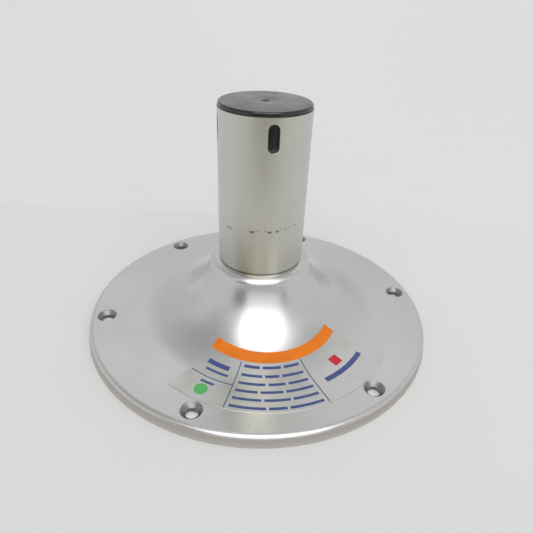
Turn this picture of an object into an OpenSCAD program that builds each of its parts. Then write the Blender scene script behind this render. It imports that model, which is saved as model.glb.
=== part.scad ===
// Boat seat pedestal: a bell-shaped cast base, a slotted post and a moulded cap.
// Millimetres, +Z up. The origin is the centre of the base, on the deck, and the
// decal faces -Y.

/* [Base casting] */
// Outside diameter of the base
base_d = 254; // [244:1:280]
// Height of the rim and of the flat flange above the deck
rim_h = 8.5; // [7:0.5:11]
// Rounding of the rim's top edge
rim_round = 3.25; // [2:0.25:5]
// Lean of the rim's side face towards the post, in degrees
rim_draft = 9; // [0:0.5:15]
// Width of the flat flange, from the rim to the foot of the bell
flange_w = 37; // [32:0.5:40]
// Height of the hollow under the flange
recess_h = 3; // [1:0.25:4]
// Width of the ring that the base stands on
foot_w = 6.5; // [4:0.25:7]
// Chamfer at the bottom of the rim
foot_chamfer = 0.5; // [0.25:0.05:1]
// Fillet between the standing ring and the hollow
foot_fillet = 0.75; // [0.25:0.25:1]
// Number of stiffening ribs under the bell
rib_count = 6; // [3:1:12]
// Thickness of a rib
rib_t = 4; // [3:0.25:6]

/* [Screw holes] */
// Number of screw holes
hole_count = 6; // [3:1:8]
// Distance from the rim to the centre of a screw hole
hole_edge = 12.7; // [12.5:0.1:16]
// Diameter of a screw hole
hole_d = 8; // [5:0.25:8.5]
// Diameter of a countersink at the surface, cut at 90 degrees
sink_d = 13.5; // [11:0.25:15]

/* [Neck] */
// Height of the neck above the deck, where the post enters it
neck_h = 54; // [48:0.5:62]
// Thickness of the neck where its rounded shoulder meets the bell
neck_wall = 7.2; // [5:0.1:8.5]
// Height of the shoulder, from the bell's end to the neck's top
shoulder_h = 4.4; // [3.5:0.1:6]
// Rounding of the shoulder's outer edge
shoulder_r = 5.6; // [4:0.1:6]
// Wall of the socket that carries the post inside the bell
socket_wall = 4.8; // [3.5:0.1:6]
// Thickness of the ledge that the post stands on
ledge_t = 4; // [2:0.25:6]
// Width of that ledge
ledge_w = 5; // [3.5:0.25:8]

/* [Post] */
// Outside diameter of the post
post_d = 60; // [50:0.5:66]
// Wall of the post
post_wall = 3.2; // [2:0.1:4]
// Height of the whole pedestal
overall_h = 162; // [130:1:330]
// Depth to which the post's lower end is turned down
seat_step = 0.5; // [0.4:0.05:0.8]
// Radial clearance of the turned end in the socket
seat_gap = 0.1; // [0.05:0.01:0.15]
// Height of the turned end that shows above the neck
seat_show = 0.5; // [0.1:0.1:1]
// Chamfer on the post's top edge
post_chamfer = 0.4; // [0.2:0.1:1]

/* [Swivel lock slots] */
// Number of slots round the post
slot_count = 4; // [2:1:6]
// Width of a slot
slot_w = 7; // [4:0.25:10]
// Length of a slot
slot_l = 17; // [12:0.5:24]
// Distance from the post's top end to a slot
slot_drop = 4.3; // [2:0.1:8]

/* [Top cap] */
// Thickness of the cap's flange on top of the post
cap_t = 2.4; // [1.5:0.1:4]
// Rounding of the flange's top edge
cap_round = 1.2; // [0.5:0.1:1.4]
// Setback of the flange inside the post's outside
cap_inset = 0.4; // [0.35:0.05:0.8]
// Radial clearance of the cap's skirt in the post
skirt_gap = 0.15; // [0.05:0.05:0.3]
// Wall of the skirt
skirt_wall = 2.5; // [1.5:0.1:4]
// Distance that the skirt reaches below the slots
skirt_over = 6; // [2:0.5:12]
// Thickness of the cap's crown under the post's end
crown_t = 1.6; // [1:0.1:3]
// Diameter of the dish in the crown
dish_d = 19.5; // [12:0.5:30]
// Depth of the dish
dish_depth = 0.8; // [0.3:0.1:1.2]
// Diameter of the vent in the middle of the dish
vent_d = 4.2; // [2:0.1:6]

/* [Decal] */
// Direction of the decal's centreline
decal_az = 272.5; // [250:0.5:290]
// Distance of the decal's own arc centre in front of the post's axis
decal_shift = 17; // [12:0.5:20]
// Inside radius of the decal about that centre
decal_in = 47.3; // [44:0.1:52]
// Outside radius of the decal about that centre
decal_out = 92.5; // [86:0.5:94]
// Half of the angle that the decal spans
decal_half = 52.7; // [40:0.1:54]
// Width of the orange band along the inside edge
band_w = 7.1; // [4:0.1:9]
// Thickness of the clear film
film_t = 0.25; // [0.15:0.05:0.4]
// Thickness of the printed ink
ink_t = 0.12; // [0.08:0.01:0.2]
// Width of a printed rule
rule_w = 0.6; // [0.4:0.05:1]
// Number of rows of printed bars in the middle cell
row_count = 6; // [3:1:7]
// Height of a printed bar
bar_h = 1.9; // [0.8:0.1:2.4]
// Diameter of the round spot
spot_d = 8.7; // [5:0.1:10]
// Side of the colour square
square_w = 7; // [4:0.1:8]

/* [Hidden] */
$fn = 96;
bell_steps = 28;    // straight pieces in the bell's arc
round_steps = 10;   // straight pieces in a small rounding
over = 1;           // how far a cutter runs past what it cuts
bury = 1;           // how far a rib runs into the walls beside it

base_r = base_d / 2;
plate_t = rim_h - recess_h;
bell_foot_r = base_r - flange_w;
post_r = post_d / 2;
bore_r = post_r - seat_step + seat_gap;
seat_r = post_r - seat_step;
socket_r = bore_r + socket_wall;
ledge_r = bore_r - ledge_w;
ledge_top = recess_h + ledge_t;
tube_top = overall_h - cap_t;
tube_in_r = post_r - post_wall;

// The bell is one concave arc, tangent to the flat flange at its foot, that
// ends under the rounded shoulder of the neck.
bell_end = [bore_r + neck_wall, neck_h - shoulder_h];
bell_rise = bell_end[1] - rim_h;
bell_run = bell_foot_r - bell_end[0];
bell_r = (bell_run * bell_run + bell_rise * bell_rise) / (2 * bell_rise);
bell_centre = [bell_foot_r, rim_h + bell_r];
bell_slope = acos(1 - bell_rise / bell_r);

// The shoulder is one convex arc, tangent to the bell, and a straight line that
// runs on from the arc to the bore.
shoulder_end = [bore_r, neck_h];
shoulder_centre = bell_end - shoulder_r * [sin(bell_slope), cos(bell_slope)];
shoulder_reach = shoulder_end - shoulder_centre;
shoulder_from = atan2(shoulder_reach[1], shoulder_reach[0])
    - acos(min(1, shoulder_r / norm(shoulder_reach)));

// The rim's rounding is tangent to the flange and to the leaning side face.
rim_flat_r = base_r - rim_round * cos(rim_draft)
    - (rim_h - rim_round + rim_round * sin(rim_draft) - foot_chamfer) * tan(rim_draft);

// Under the plate the bell's arc is offset by the plate's thickness.
under_slope = asin((bell_foot_r - socket_r) / (bell_r + plate_t));

// The decal's arcs share one centre, a little in front of the post.
decal_centre = decal_shift * [cos(decal_az), sin(decal_az)];
decal_near_r = norm(decal_centre + decal_in * [cos(decal_az + decal_half), sin(decal_az + decal_half)]);
decal_slope = asin((bell_foot_r - decal_near_r + 2) / bell_r);
decal_steps = min(bell_steps, ceil(bell_steps * decal_slope / bell_slope));
left_rule = -27.9;   // angles of the two dividing rules from the centreline
right_rule = 13.4;
spot_at = 12.4 - decal_half;
square_at = (right_rule + decal_half) / 2;
band_out = decal_in + band_w;
cross_rule_r = (band_out + decal_out) / 2;
row_pitch = (decal_out - band_out) / row_count;
// Plain bars in the outer cells: inside and outside radius, first and last angle
cell_bars = [[band_out + 6.5, band_out + 9.7, left_rule - 20, left_rule - 5.5],
             [band_out + 12.6, band_out + 14.2, left_rule - 18, left_rule - 4.5],
             [cross_rule_r + 3.2, cross_rule_r + 5, left_rule - 15.5, left_rule - 8.5],
             [cross_rule_r + 0.8, cross_rule_r + 4.4, square_at - 14, square_at + 14]];

function polar(r, a) = r * [cos(a), sin(a)];
function arc(c, r, a0, a1, n) = [for (i = [0:n]) c + polar(r, a0 + (a1 - a0) * i / n)];
// Points up the bell from its foot, moved out from its surface by a distance
function bell(out, steps) =
    [for (i = [0:steps]) bell_centre + polar(bell_r - out, 270 - bell_slope * i / bell_steps)];
function under_bell(in) =
    arc(bell_centre, bell_r + plate_t - in, 270, 270 - under_slope, bell_steps);
function reversed(points) = [for (i = [len(points) - 1:-1:0]) points[i]];

// Section of the casting, from the bore over the bell to the rim and back underneath
function casting_section() = concat(
    [shoulder_end],
    arc(shoulder_centre, shoulder_r, shoulder_from, 90 - bell_slope, round_steps),
    reversed(bell(0, bell_steps - 1)),
    arc([rim_flat_r, rim_h - rim_round], rim_round, 90, rim_draft, round_steps),
    [[base_r, foot_chamfer], [base_r - foot_chamfer, 0]],
    [[base_r - foot_w, 0]],
    arc([base_r - foot_w - foot_fillet, recess_h - foot_fillet], foot_fillet, 0, 90, 4),
    under_bell(0),
    [[socket_r, recess_h], [ledge_r, recess_h], [ledge_r, ledge_top], [bore_r, ledge_top]]);

module ribs() {
    intersection() {
        rotate_extrude()
            polygon(concat([[socket_r - bury, recess_h], [bell_foot_r, recess_h]], under_bell(bury),
                           [[socket_r - bury, bell_centre[1] - (bell_r + plate_t - bury) * cos(under_slope)]]));
        for (i = [0:rib_count - 1])
            rotate([0, 0, (i + 0.5) * 360 / rib_count])
                translate([0, -rib_t / 2, recess_h])
                    cube([bell_foot_r - 2 * rib_t, rib_t, neck_h - recess_h]);
    }
}

module screw_hole() {
    translate([0, 0, -over])
        cylinder(h = rim_h + 2 * over, r = hole_d / 2);
    sink_depth = (sink_d - hole_d) / 2;
    translate([0, 0, rim_h - sink_depth])
        cylinder(h = sink_depth + over, r1 = hole_d / 2, r2 = sink_d / 2 + over);
}

module base_casting() {
    color([0.74, 0.74, 0.73])
        difference() {
            union() {
                rotate_extrude()
                    polygon(casting_section());
                ribs();
            }
            for (i = [0:hole_count - 1])
                rotate([0, 0, i * 360 / hole_count])
                    translate([base_r - hole_edge, 0, 0])
                        screw_hole();
        }
}

// A slot with round ends, cut along +X through one wall of the post
module lock_slot() {
    top_z = tube_top - slot_drop - slot_w / 2;
    low_z = tube_top - slot_drop - slot_l + slot_w / 2;
    from_x = tube_in_r - over;
    depth = post_wall + 2 * over;
    for (z = [low_z, top_z])
        translate([from_x, 0, z])
            rotate([0, 90, 0])
                cylinder(h = depth, r = slot_w / 2);
    translate([from_x, -slot_w / 2, low_z])
        cube([depth, slot_w, top_z - low_z]);
}

module post_tube() {
    color([0.69, 0.68, 0.65])
        difference() {
            rotate_extrude()
                polygon([[tube_in_r, ledge_top], [seat_r, ledge_top], [seat_r, neck_h + seat_show],
                         [post_r, neck_h + seat_show], [post_r, tube_top - post_chamfer],
                         [post_r - post_chamfer, tube_top], [tube_in_r, tube_top]]);
            for (i = [0:slot_count - 1])
                rotate([0, 0, 270 + i * 360 / slot_count])
                    lock_slot();
        }
}

module top_cap() {
    cap_r = post_r - cap_inset;
    skirt_r = tube_in_r - skirt_gap;
    skirt_end = tube_top - slot_drop - slot_l - skirt_over;
    lead = 0.8;
    dish_r = dish_d / 2;
    dish_ball = (dish_r * dish_r + dish_depth * dish_depth) / (2 * dish_depth);
    dish_angle = asin(dish_r / dish_ball);
    vent_angle = asin(vent_d / 2 / dish_ball);
    dish_centre = [0, overall_h - dish_depth + dish_ball];
    color([0.10, 0.10, 0.11])
        rotate_extrude()
            polygon(concat(
                arc(dish_centre, dish_ball, 270 + vent_angle, 270 + dish_angle, 5),
                arc([cap_r - cap_round, overall_h - cap_round], cap_round, 90, 0, round_steps),
                [[cap_r, tube_top], [skirt_r, tube_top], [skirt_r, skirt_end + lead],
                 [skirt_r - lead, skirt_end], [skirt_r - skirt_wall, skirt_end],
                 [skirt_r - skirt_wall, tube_top - crown_t], [vent_d / 2, tube_top - crown_t]]));
}

// A thin skin that follows the flange and the bell between two heights above them
module skin(low, high) {
    rotate_extrude()
        polygon(concat([[rim_flat_r, rim_h + low]], bell(low, decal_steps),
                       reversed(bell(high, decal_steps)), [[rim_flat_r, rim_h + high]]));
}

// Part of a ring about the decal's centre, angles counted from its centreline
module ring_part(r0, r1, a0, a1) {
    far = 2 * r1;
    translate(decal_centre)
        rotate(decal_az)
            intersection() {
                difference() {
                    circle(r1);
                    circle(r0);
                }
                polygon([[0, 0], polar(far, a0), polar(far, (a0 + a1) / 2), polar(far, a1)]);
            }
}

module decal_place(r, a) {
    translate(decal_centre)
        rotate(decal_az + a)
            translate([r, 0])
                children();
}

module through_plan() {
    translate([0, 0, -over])
        linear_extrude(neck_h)
            children();
}

module decal_film() {
    color([0.78, 0.78, 0.77])
        intersection() {
            skin(0, film_t);
            through_plan() ring_part(decal_in, decal_out, -decal_half, decal_half);
        }
}

module decal_band() {
    color([0.90, 0.46, 0.05])
        intersection() {
            skin(film_t, film_t + ink_t);
            through_plan() ring_part(decal_in, band_out, -decal_half, decal_half);
        }
}

// Dividing rules and rows of plain bars
module print_plan() {
    rule_in = band_out + 0.6;
    rule_out = decal_out - 0.6;
    for (a = [left_rule, right_rule])
        decal_place((rule_in + rule_out) / 2, a)
            square([rule_out - rule_in, rule_w], center = true);
    ring_part(cross_rule_r - rule_w / 2, cross_rule_r + rule_w / 2, 0.6 - decal_half, left_rule);
    for (i = [0:row_count - 1]) {
        r = band_out + (i + 0.5) * row_pitch;
        margin = 150 / r;
        from = left_rule + margin;
        span = right_rule - left_rule - 2 * margin;
        // The rows break at two places that step along from row to row
        first = 0.28 + 0.05 * (i % 3);
        second = 0.66 - 0.06 * (i % 2);
        gap = 110 / r / span;
        for (part = [[0, first], [first + gap, second], [second + gap, 1]])
            ring_part(r - bar_h / 2, r + bar_h / 2, from + part[0] * span, from + part[1] * span);
    }
    for (bar = cell_bars)
        ring_part(bar[0], bar[1], bar[2], bar[3]);
}

module decal_print() {
    color([0.20, 0.27, 0.48])
        intersection() {
            skin(film_t, film_t + ink_t);
            through_plan() print_plan();
        }
}

module decal_spot() {
    color([0.25, 0.68, 0.33])
        intersection() {
            skin(film_t, film_t + ink_t);
            through_plan() decal_place(cross_rule_r + 10.5, spot_at) circle(d = spot_d);
        }
}

module decal_square() {
    color([0.76, 0.12, 0.16])
        intersection() {
            skin(film_t, film_t + ink_t);
            through_plan() decal_place(cross_rule_r - 6.2, square_at) square(square_w, center = true);
        }
}

base_casting();
post_tube();
top_cap();
decal_film();
decal_band();
decal_print();
decal_spot();
decal_square();
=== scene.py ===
import math

import bmesh
import bpy
import numpy as np
from mathutils import Matrix


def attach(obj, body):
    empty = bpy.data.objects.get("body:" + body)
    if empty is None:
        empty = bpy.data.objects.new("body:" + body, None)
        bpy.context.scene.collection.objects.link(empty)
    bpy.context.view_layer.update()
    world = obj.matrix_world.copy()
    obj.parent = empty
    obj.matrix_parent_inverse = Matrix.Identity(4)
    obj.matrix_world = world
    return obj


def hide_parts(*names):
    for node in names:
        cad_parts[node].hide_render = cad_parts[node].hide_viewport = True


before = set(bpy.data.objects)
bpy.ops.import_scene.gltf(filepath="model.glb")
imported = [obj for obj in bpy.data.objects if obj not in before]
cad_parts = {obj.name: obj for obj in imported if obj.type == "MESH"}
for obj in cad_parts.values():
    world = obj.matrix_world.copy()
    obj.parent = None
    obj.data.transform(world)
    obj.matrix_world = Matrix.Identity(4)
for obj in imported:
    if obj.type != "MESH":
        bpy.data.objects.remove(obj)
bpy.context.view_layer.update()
mm = 0.001
print("frame loaded:", len(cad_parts), "nodes")


# Meshes

def gridFaces(rows, cols, start, keep=None):
    # Quads of a grid of rows x cols points, in the order of the points; keep masks the cells
    index = start + np.arange(rows * cols).reshape(rows, cols)
    quads = np.stack([index[:-1, :-1], index[1:, :-1], index[1:, 1:], index[:-1, 1:]], axis=-1)
    return quads[keep] if keep is not None else quads.reshape(-1, 4)


def meshFromBlocks(name, blocks, sharpDegrees):
    # Each block is (points, keep): points are rows x cols x 3 in millimetres. Blocks share
    # their edges, so merging the doubles closes the surface.
    points, quads, start = [], [], 0
    for grid, keep in blocks:
        rows, cols = grid.shape[:2]
        points.append(grid.reshape(-1, 3) * mm)
        quads.append(gridFaces(rows, cols, start, keep))
        start += rows * cols
    points = np.concatenate(points)
    quads = np.concatenate(quads)
    mesh = bpy.data.meshes.new(name)
    mesh.vertices.add(len(points))
    mesh.vertices.foreach_set("co", points.ravel())
    mesh.loops.add(quads.size)
    mesh.loops.foreach_set("vertex_index", quads.ravel().astype(np.int32))
    mesh.polygons.add(len(quads))
    mesh.polygons.foreach_set("loop_start", np.arange(0, quads.size, 4, dtype=np.int32))
    mesh.update(calc_edges=True)
    work = bmesh.new()
    work.from_mesh(mesh)
    bmesh.ops.remove_doubles(work, verts=work.verts, dist=2e-6)
    bmesh.ops.dissolve_degenerate(work, edges=work.edges, dist=1e-7)
    loose = [vert for vert in work.verts if not vert.link_faces]
    bmesh.ops.delete(work, geom=loose, context="VERTS")
    bmesh.ops.recalc_face_normals(work, faces=work.faces)
    openEdges = sum(1 for edge in work.edges if len(edge.link_faces) != 2)
    work.to_mesh(mesh)
    work.free()
    mesh.shade_smooth()
    mesh.set_sharp_from_angle(angle=math.radians(sharpDegrees))
    print(name, "faces", len(mesh.polygons), "open edges", openEdges)
    return mesh


def addPiece(name, mesh, material, node):
    piece = bpy.data.objects.new(name, mesh)
    bpy.context.scene.collection.objects.link(piece)
    mesh.materials.append(material)
    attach(piece, "root")
    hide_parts(node)
    return piece


def revolve(profile, columns):
    # Each profile point (r, z) becomes a circle: x = r cos a, y = r sin a
    turn = np.linspace(0, 2 * np.pi, columns + 1)
    r, z = profile[:, 0][:, None], profile[:, 1][:, None]
    return np.stack([r * np.cos(turn), r * np.sin(turn), z + 0 * turn], axis=-1)


def arcPoints(centre, radius, fromDegrees, toDegrees, count):
    angle = np.radians(np.linspace(fromDegrees, toDegrees, count))
    return np.stack([centre[0] + radius * np.cos(angle), centre[1] + radius * np.sin(angle)], axis=-1)


def linePoints(start, end, count):
    share = np.linspace(0, 1, count)[:, None]
    return np.array(start) * (1 - share) + np.array(end) * share


def joinProfile(parts):
    # One list of points, without the repeats where two parts meet
    points = np.concatenate(parts)
    far = np.linalg.norm(np.diff(points, axis=0), axis=1) > 1e-5
    return points[np.concatenate([[True], far])]


def windowLoop(grid, rows, cols):
    # Closed loop of the points round a rectangular window in a grid, first point repeated
    step = 1 if rows[1] > rows[0] else -1
    across, along = np.arange(cols[0], cols[1]), np.arange(rows[0], rows[1], step)
    back, down = np.arange(cols[1], cols[0], -1), np.arange(rows[1], rows[0], -step)
    rowPath = np.concatenate([0 * across + rows[0], along, 0 * back + rows[1], down, [rows[0]]])
    colPath = np.concatenate([across, 0 * along + cols[1], back, 0 * down + cols[0], [cols[0]]])
    return grid[rowPath, colPath]


def easeBetween(outer, inner, shares):
    return [outer * (1 - share) + inner * share for share in shares]


# Shared sizes of the turned surface of the casting, in millimetres
bell = {
    "rimRadius": 127.0, "rimHeight": 8.5, "rimRound": 3.25, "rimDraft": 9.0, "flangeWidth": 37.0,
    "boreRadius": 29.6, "neckWall": 7.2, "neckHeight": 54.0, "shoulderHeight": 4.4, "shoulderRadius": 5.6,
}
bellFoot = bell["rimRadius"] - bell["flangeWidth"]
bellTop = np.array([bell["boreRadius"] + bell["neckWall"], bell["neckHeight"] - bell["shoulderHeight"]])
bellRun = bellFoot - bellTop[0]
bellRise = bellTop[1] - bell["rimHeight"]
bellRadius = (bellRun ** 2 + bellRise ** 2) / (2 * bellRise)
bellCentre = np.array([bellFoot, bell["rimHeight"] + bellRadius])
bellSlope = math.acos(1 - bellRise / bellRadius)
shoulderCentre = bellTop - bell["shoulderRadius"] * np.array([math.sin(bellSlope), math.cos(bellSlope)])


def bellSurface(x, y, out):
    # Point of the bell or flange over (x, y), moved out by a distance along the surface's
    # normal: the bell is a circular arc of bellRadius about bellCentre, turned round the post
    r = np.hypot(x, y)
    sine = np.clip((bellFoot - r) / bellRadius, 0, 0.999)
    cosine = np.sqrt(1 - sine ** 2)
    z = bellCentre[1] - bellRadius * cosine
    return np.stack([x + out * sine * x / r, y + out * sine * y / r, z + out * cosine], axis=-1)


# Base casting

castBase = {
    "columns": 360, "footWidth": 6.5, "footChamfer": 0.5, "footFillet": 0.75, "recessHeight": 3.0,
    "socketWall": 4.8, "ledgeWidth": 5.0, "ledgeTop": 7.0,
    "holeCount": 6, "holeEdge": 12.7, "holeRadius": 4.0, "sinkRadius": 6.75, "edgeBreak": 0.18,
    "ribCount": 6, "ribThickness": 4.0, "ribReach": 82.0,
}


def castingProfile():
    base, part = bell, castBase
    rim, recess = base["rimRadius"], part["recessHeight"]
    bore, socket = base["boreRadius"], base["boreRadius"] + part["socketWall"]
    ledge = bore - part["ledgeWidth"]
    underRadius = bellRadius + base["rimHeight"] - recess
    underSlope = math.degrees(math.asin((bellFoot - socket) / underRadius))
    # The neck's flat top runs from the bore to where it is tangent to the shoulder's arc
    reach = np.array([bore, base["neckHeight"]]) - shoulderCentre
    startDegrees = math.degrees(math.atan2(reach[1], reach[0])
                                - math.acos(base["shoulderRadius"] / math.hypot(*reach)))
    slope = math.degrees(bellSlope)
    # The rim's rounding is tangent to the flange and to the leaning side face
    draft, round_ = math.radians(base["rimDraft"]), base["rimRound"]
    roundHigh = base["rimHeight"] - round_
    flatEnd = rim - round_ * math.cos(draft) - (roundHigh + round_ * math.sin(draft)
                                                - part["footChamfer"]) * math.tan(draft)
    topWindow = np.linspace(105.4, 122.8, 13)
    flange = np.concatenate([[bellFoot, 94, 98, 101.5], topWindow, [flatEnd]])
    lowWindow = np.linspace(119.6, 108.2, 13)
    under = np.concatenate([[rim - part["footWidth"] - part["footFillet"]], lowWindow, [104, 97, bellFoot]])
    parts = [
        linePoints((bore, part["ledgeTop"]), (bore, base["neckHeight"] - part["edgeBreak"]), 8),
        [[bore + part["edgeBreak"], base["neckHeight"] - 0.02]],
        arcPoints(shoulderCentre, base["shoulderRadius"], startDegrees, 90 - slope, 20),
        arcPoints(bellCentre, bellRadius, 270 - slope, 270, 64),
        np.stack([flange, 0 * flange + base["rimHeight"]], axis=-1),
        arcPoints((flatEnd, roundHigh), round_, 90, base["rimDraft"], 17),
        linePoints((flatEnd + round_ * math.cos(draft), roundHigh + round_ * math.sin(draft)),
                   (rim, part["footChamfer"]), 5),
        linePoints((rim - part["footChamfer"], 0), (rim - part["footWidth"], 0), 4),
        arcPoints((rim - part["footWidth"] - part["footFillet"], recess - part["footFillet"]),
                  part["footFillet"], 0, 90, 6),
        np.stack([under, 0 * under + recess], axis=-1),
        arcPoints(bellCentre, underRadius, 270, 270 - underSlope, 40),
        linePoints((socket, bellCentre[1] - underRadius * math.cos(math.radians(underSlope)) - 0.5),
                   (socket, recess), 6),
        linePoints((socket, recess), (ledge, recess), 4),
        linePoints((ledge, recess), (ledge, part["ledgeTop"]), 3),
        linePoints((ledge, part["ledgeTop"]), (bore, part["ledgeTop"]), 3),
    ]
    return joinProfile(parts), topWindow, lowWindow


def circleFrom(loop, centre, radius, z):
    # The circle's point in the direction of each point of the loop
    away = loop[:, :2] - centre
    away /= np.linalg.norm(away, axis=1)[:, None]
    return np.column_stack([centre + radius * away, np.full(len(loop), z)])


def castingBlocks():
    # The profile is revolved. Round each screw hole a window is left out of the flange, above
    # and below, and rings run from the window in to the countersink, down it and out again.
    part = castBase
    profile, topWindow, lowWindow = castingProfile()
    grid = revolve(profile, part["columns"])
    keep = np.ones((grid.shape[0] - 1, part["columns"]), dtype=bool)
    onTop = np.abs(profile[:, 1] - bell["rimHeight"]) < 1e-6
    onRecess = np.abs(profile[:, 1] - part["recessHeight"]) < 1e-6

    def rowOf(mask, radius):
        distance = np.abs(profile[:, 0] - radius) + (~mask) * 1000
        return int(np.argmin(distance))
    topRows = (rowOf(onTop, topWindow[0]), rowOf(onTop, topWindow[-1]))
    lowRows = (rowOf(onRecess, lowWindow[0]), rowOf(onRecess, lowWindow[-1]))
    blocks = []
    circleRadius = bell["rimRadius"] - part["holeEdge"]
    top, low = bell["rimHeight"], part["recessHeight"]
    sink, hole, edge = part["sinkRadius"], part["holeRadius"], part["edgeBreak"]
    half = 5
    for k in range(part["holeCount"]):
        middle = k * part["columns"] // part["holeCount"]
        angle = 2 * np.pi * k / part["holeCount"]
        centre = circleRadius * np.array([math.cos(angle), math.sin(angle)])
        wrapped = np.roll(grid[:, :-1], 2 * half - middle, axis=1)
        columns = np.arange(middle - half, middle + half) % part["columns"]
        keep[topRows[0]:topRows[1], columns] = False
        keep[lowRows[0]:lowRows[1], columns] = False
        above = windowLoop(wrapped, topRows, (half, 3 * half))
        below = windowLoop(wrapped, lowRows[::-1], (half, 3 * half))
        circles = [circleFrom(above, centre, radius, z) for radius, z in (
            (sink + edge, top), (sink, top - 0.6 * edge), ((sink + hole) / 2, top - (sink - hole) / 2),
            (hole, top - sink + hole), (hole, (top + low - sink + hole) / 2), (hole, low))]
        blocks.append((np.stack(easeBetween(above, circles[0], (0, 0.3, 0.6, 0.85)) + circles
                                + easeBetween(circles[-1], below, (0.5, 1))), None))
    return [(grid, keep)] + blocks


def ribBlocks():
    # A rib is the space between two upright walls, from the socket out to the flange, under
    # an edge that runs 1 mm inside the bell's underside. Its section is one closed loop.
    part = castBase
    socket = bell["boreRadius"] + part["socketWall"] - 1
    underRadius = bellRadius + bell["rimHeight"] - part["recessHeight"] - 1
    r = np.concatenate([[socket, socket + 0.999], np.linspace(socket + 1.05, part["ribReach"], 23)])
    high = bellCentre[1] - np.sqrt(underRadius ** 2 - (bellFoot - r) ** 2)
    high = np.maximum(high, part["recessHeight"] + 0.6)
    half = part["ribThickness"] / 2
    low = np.where(r < socket + 1, part["recessHeight"] + 0.4, part["recessHeight"])
    side = [np.stack([r, 0 * r + y, z], axis=-1) for y, z in
            ((-half, low), (-half, high), (half, high), (half, low), (-half, low))]
    blocks = []
    for k in range(part["ribCount"]):
        angle = 2 * np.pi * (k + 0.5) / part["ribCount"]
        turn = np.array([[math.cos(angle), math.sin(angle), 0], [-math.sin(angle), math.cos(angle), 0], [0, 0, 1]])
        blocks.append((np.stack(side) @ turn, None))
        for end in (0, -1):
            corner = [line[end] @ turn for line in side[:4]]
            blocks.append((np.array([[corner[0], corner[3]], [corner[1], corner[2]]]), None))
    return blocks


def markRegions(mesh):
    # Point attributes for the material: cut is 1 in the screw holes, rough is 1 underneath,
    # where the casting isn't turned
    count = len(mesh.vertices)
    points = np.empty(count * 3)
    mesh.vertices.foreach_get("co", points)
    x, y, z = (points.reshape(-1, 3) / mm).T
    r, angle = np.hypot(x, y), np.arctan2(y, x)
    pitch = 2 * np.pi / castBase["holeCount"]
    folded = angle - pitch * np.round(angle / pitch)
    toHole = np.hypot(r * np.cos(folded) - bell["rimRadius"] + castBase["holeEdge"], r * np.sin(folded))
    cut = (toHole < castBase["sinkRadius"] + 0.1) & (z < bell["rimHeight"] - 0.05)
    surface = bellCentre[1] - bellRadius * np.sqrt(1 - np.clip((bellFoot - r) / bellRadius, 0, 0.95) ** 2)
    under = (z < surface - 1.5) & (r < bell["rimRadius"] - castBase["footWidth"] + 0.1) & ~cut
    for name, mask in (("cut", cut), ("rough", under)):
        mesh.attributes.new(name, "FLOAT", "POINT").data.foreach_set("value", mask.astype(np.float32))
    return mesh


# Post tube

postTube = {
    "columns": 240, "radius": 30.0, "wall": 3.2, "bottom": 7.0, "top": 159.6, "seatRadius": 29.5,
    "seatTop": 54.5, "chamfer": 0.4, "edgeBreak": 0.15,
    "slotCount": 4, "slotRadius": 3.5, "slotLow": 141.8, "slotHigh": 151.8, "windowReach": 2.2,
}


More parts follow.
